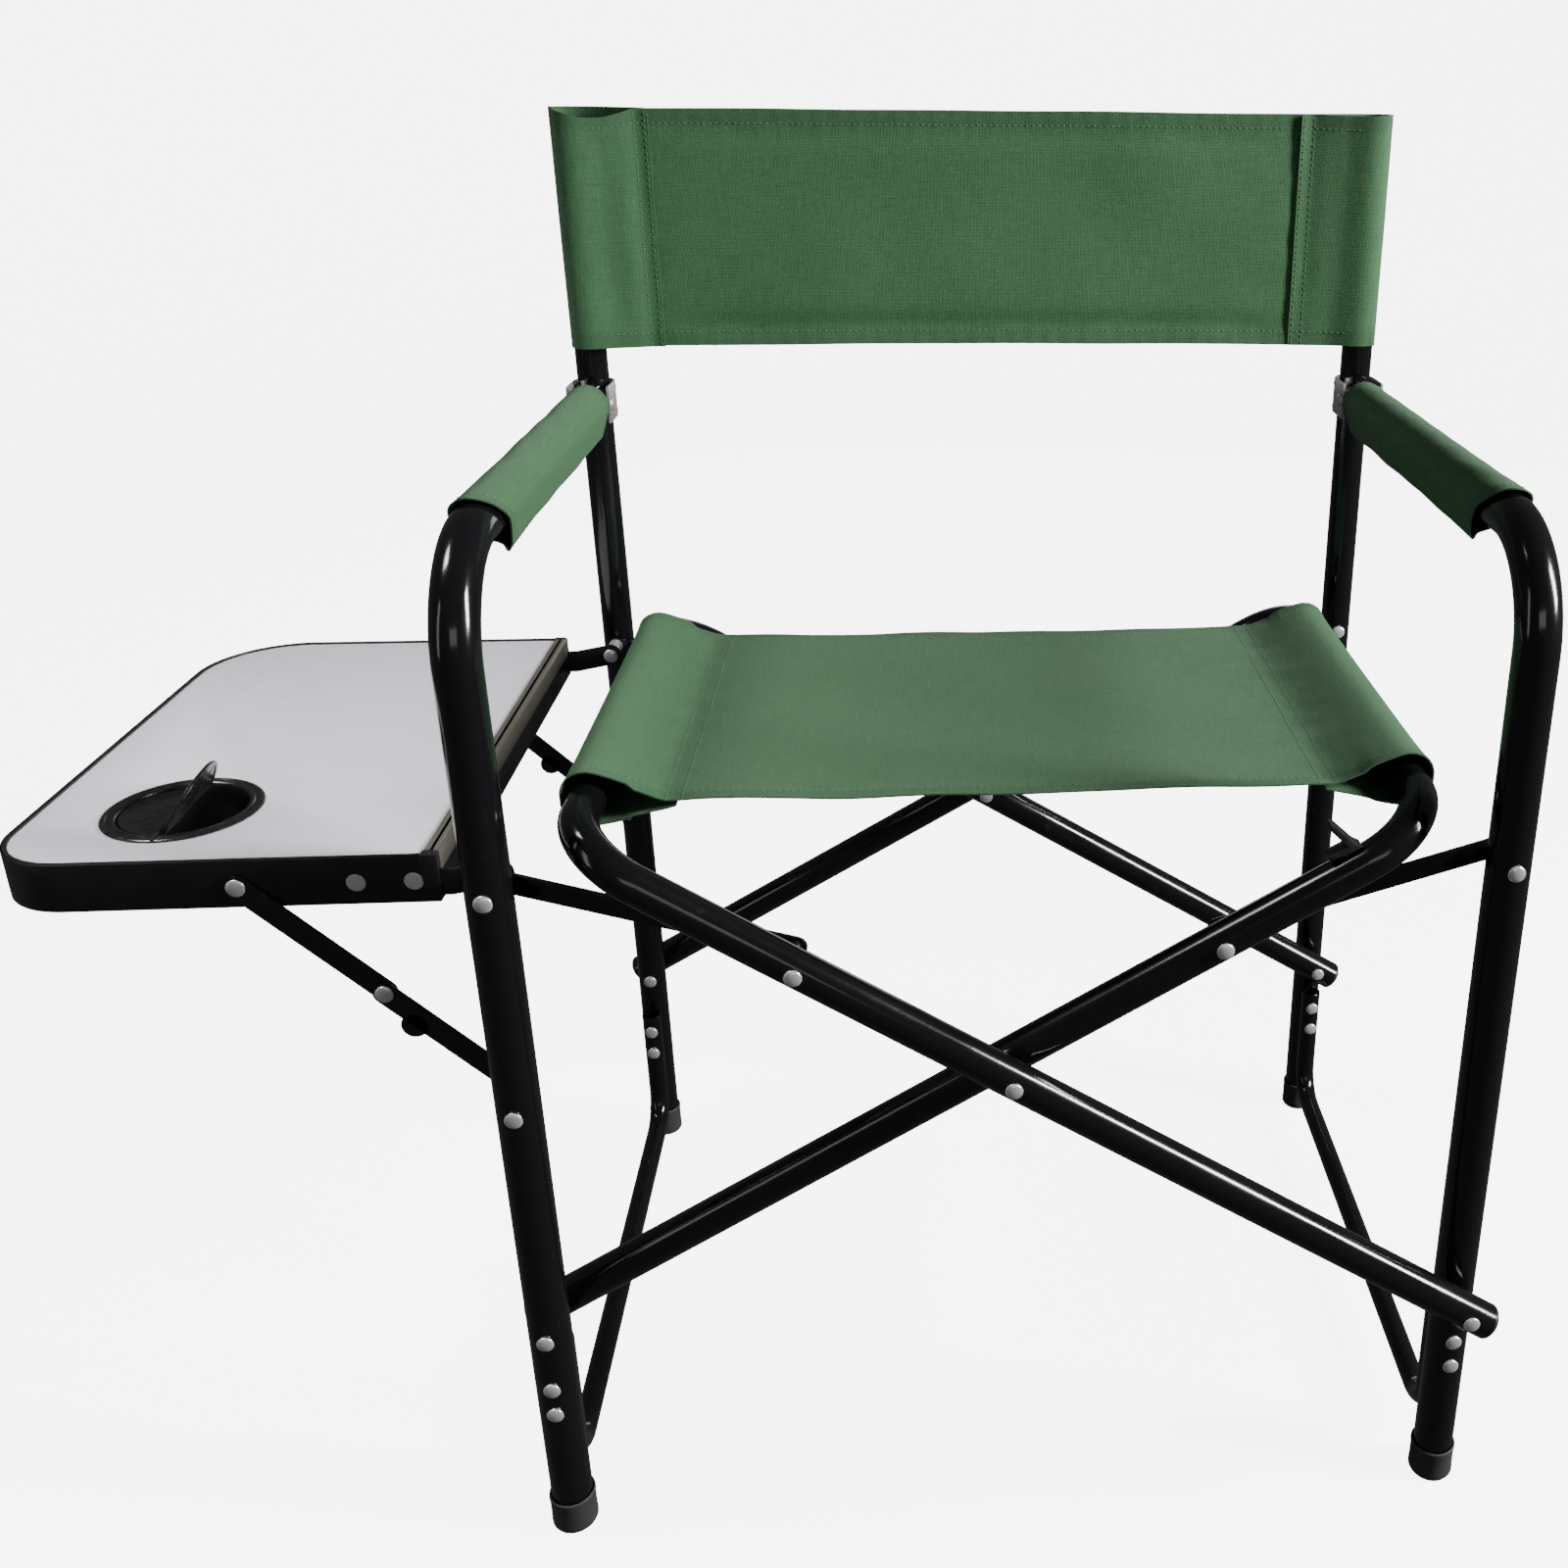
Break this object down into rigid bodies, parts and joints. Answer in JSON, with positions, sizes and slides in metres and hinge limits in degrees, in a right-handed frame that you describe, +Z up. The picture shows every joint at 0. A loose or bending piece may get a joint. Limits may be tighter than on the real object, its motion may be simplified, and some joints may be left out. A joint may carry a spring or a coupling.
{
  "type": "director chair",
  "caption": "Folding director chair with crossed tube legs, fabric seat and back slings, armrest sleeves and a braced fold-down side table with a cup holder.",
  "frame": {"origin": "on the floor, under the centre of the whole object's box, the side table included", "axes": "+Z up, -Y the way the sitter faces, +X to the right of someone looking at the chair's front, so the table is on -X"},
  "size_m": [0.8385, 0.4753, 0.822],
  "materials": {
    "black_paint": "gloss",
    "zinc": "satin",
    "rivet_steel": "satin",
    "black_plastic": "satin",
    "foot_rubber": "matte",
    "green_fabric": "matte",
    "table_laminate": "satin"
  },
  "bodies": {
    "left_frame": {"front_leg_left": "black_paint", "back_post_left": "black_paint", "floor_bar_left": "black_paint", "front_foot_left": "foot_rubber", "rear_foot_left": "foot_rubber", "arm_bracket_left": "zinc", "arm_bolt_left": "zinc", "arm_sleeve_left": "green_fabric", "lower_pivot_front_left": "rivet_steel", "lower_pivot_rear_left": "rivet_steel", "link_pivot_front_left": "rivet_steel", "link_pivot_rear_left": "rivet_steel", "brace_pivot_front": "rivet_steel", "brace_pivot_rear": "rivet_steel", "back_sling": "green_fabric"},
    "x_frame_b": {"x_tube_b": "black_paint", "tube_plug_b_front": "black_plastic", "tube_plug_b_rear": "black_plastic", "link_pin_front_b": "rivet_steel", "link_pin_rear_b": "rivet_steel", "cross_pivot_front": "rivet_steel", "cross_pivot_rear": "rivet_steel", "seat_sling": "green_fabric", "fold_clip": "black_plastic"},
    "x_frame_a": {"x_tube_a": "black_paint", "tube_plug_a_front": "black_plastic", "tube_plug_a_rear": "black_plastic", "link_pin_front_a": "rivet_steel", "link_pin_rear_a": "rivet_steel"},
    "right_frame": {"front_leg_right": "black_paint", "back_post_right": "black_paint", "floor_bar_right": "black_paint", "front_foot_right": "foot_rubber", "rear_foot_right": "foot_rubber", "arm_bracket_right": "zinc", "arm_bolt_right": "zinc", "arm_sleeve_right": "green_fabric", "lower_pivot_front_right": "rivet_steel", "lower_pivot_rear_right": "rivet_steel", "link_pivot_front_right": "rivet_steel", "link_pivot_rear_right": "rivet_steel"},
    "left_links": {"link_front_left": "black_paint", "link_rear_left": "black_paint"},
    "right_links": {"link_front_right": "black_paint", "link_rear_right": "black_paint"},
    "table": {"table_frame": "black_paint", "table_top": "table_laminate", "table_bracket_front": "black_paint", "table_bracket_rear": "black_paint", "cup_ring": "black_plastic", "brace_pin_front": "rivet_steel", "brace_pin_rear": "rivet_steel"},
    "upper_braces": {"upper_brace_front": "black_paint", "upper_brace_rear": "black_paint"},
    "lower_braces": {"lower_brace_front": "black_paint", "lower_brace_rear": "black_paint", "knee_pin_front": "rivet_steel", "knee_pin_rear": "rivet_steel"},
    "flap_left": {"cup_flap_left": "black_plastic"},
    "flap_right": {"cup_flap_right": "black_plastic"}
  },
  "joints": [
    {"name": "fold", "type": "hinge", "parent": "left_frame", "child": "x_frame_b", "pos_m": [-0.1512, -0.1998, 0.152], "axis": [0, -1, 0], "range_deg": [0, 44.47], "deforming": ["seat_sling", "back_sling"]},
    {"name": "cross_pivot", "type": "hinge", "parent": "x_frame_b", "child": "x_frame_a", "pos_m": [0.1238, -0.1998, 0.324], "axis": [0, -1, 0], "range_deg": [-96, 0]},
    {"name": "right_lower_pivot", "type": "hinge", "parent": "x_frame_a", "child": "right_frame", "pos_m": [0.3988, -0.1998, 0.152], "axis": [0, -1, 0], "range_deg": [0, 48]},
    {"name": "left_link_pivot", "type": "hinge", "parent": "left_frame", "child": "left_links", "pos_m": [-0.1512, -0.1998, 0.445], "axis": [0, -1, 0], "range_deg": [0, 96]},
    {"name": "right_link_pivot", "type": "hinge", "parent": "right_frame", "child": "right_links", "pos_m": [0.3988, -0.1998, 0.445], "axis": [0, -1, 0], "range_deg": [-96, 0]},
    {"name": "table_fold", "type": "hinge", "parent": "left_frame", "child": "table", "pos_m": [-0.1512, -0.1998, 0.445], "axis": [0, -1, 0], "range_deg": [0, 80]},
    {"name": "upper_brace_pivot", "type": "hinge", "parent": "table", "child": "upper_braces", "pos_m": [-0.2862, -0.1998, 0.443], "axis": [0, -1, 0], "range_deg": [0, 44]},
    {"name": "lower_brace_pivot", "type": "hinge", "parent": "left_frame", "child": "lower_braces", "pos_m": [-0.1512, -0.1998, 0.30999], "axis": [0, -1, 0], "range_deg": [-44, 0]},
    {"name": "flap_left_hinge", "type": "hinge", "parent": "table", "child": "flap_left", "pos_m": [-0.3395, -0.1128, 0.456], "axis": [0, -1, 0], "range_deg": [-90, 0]},
    {"name": "flap_right_hinge", "type": "hinge", "parent": "table", "child": "flap_right", "pos_m": [-0.3369, -0.1128, 0.456], "axis": [0, -1, 0], "range_deg": [-60, 30]}
  ],
  "couplings": [
    {"joint": "cross_pivot", "follows": "fold", "ratio": -2},
    {"joint": "right_lower_pivot", "follows": "fold", "ratio": 1},
    {"joint": "left_link_pivot", "follows": "fold", "ratio": 2.0555},
    {"joint": "right_link_pivot", "follows": "fold", "ratio": -2.0555},
    {"joint": "upper_brace_pivot", "follows": "table_fold", "ratio": 0.54342},
    {"joint": "lower_brace_pivot", "follows": "table_fold", "ratio": -0.54342}
  ]
}
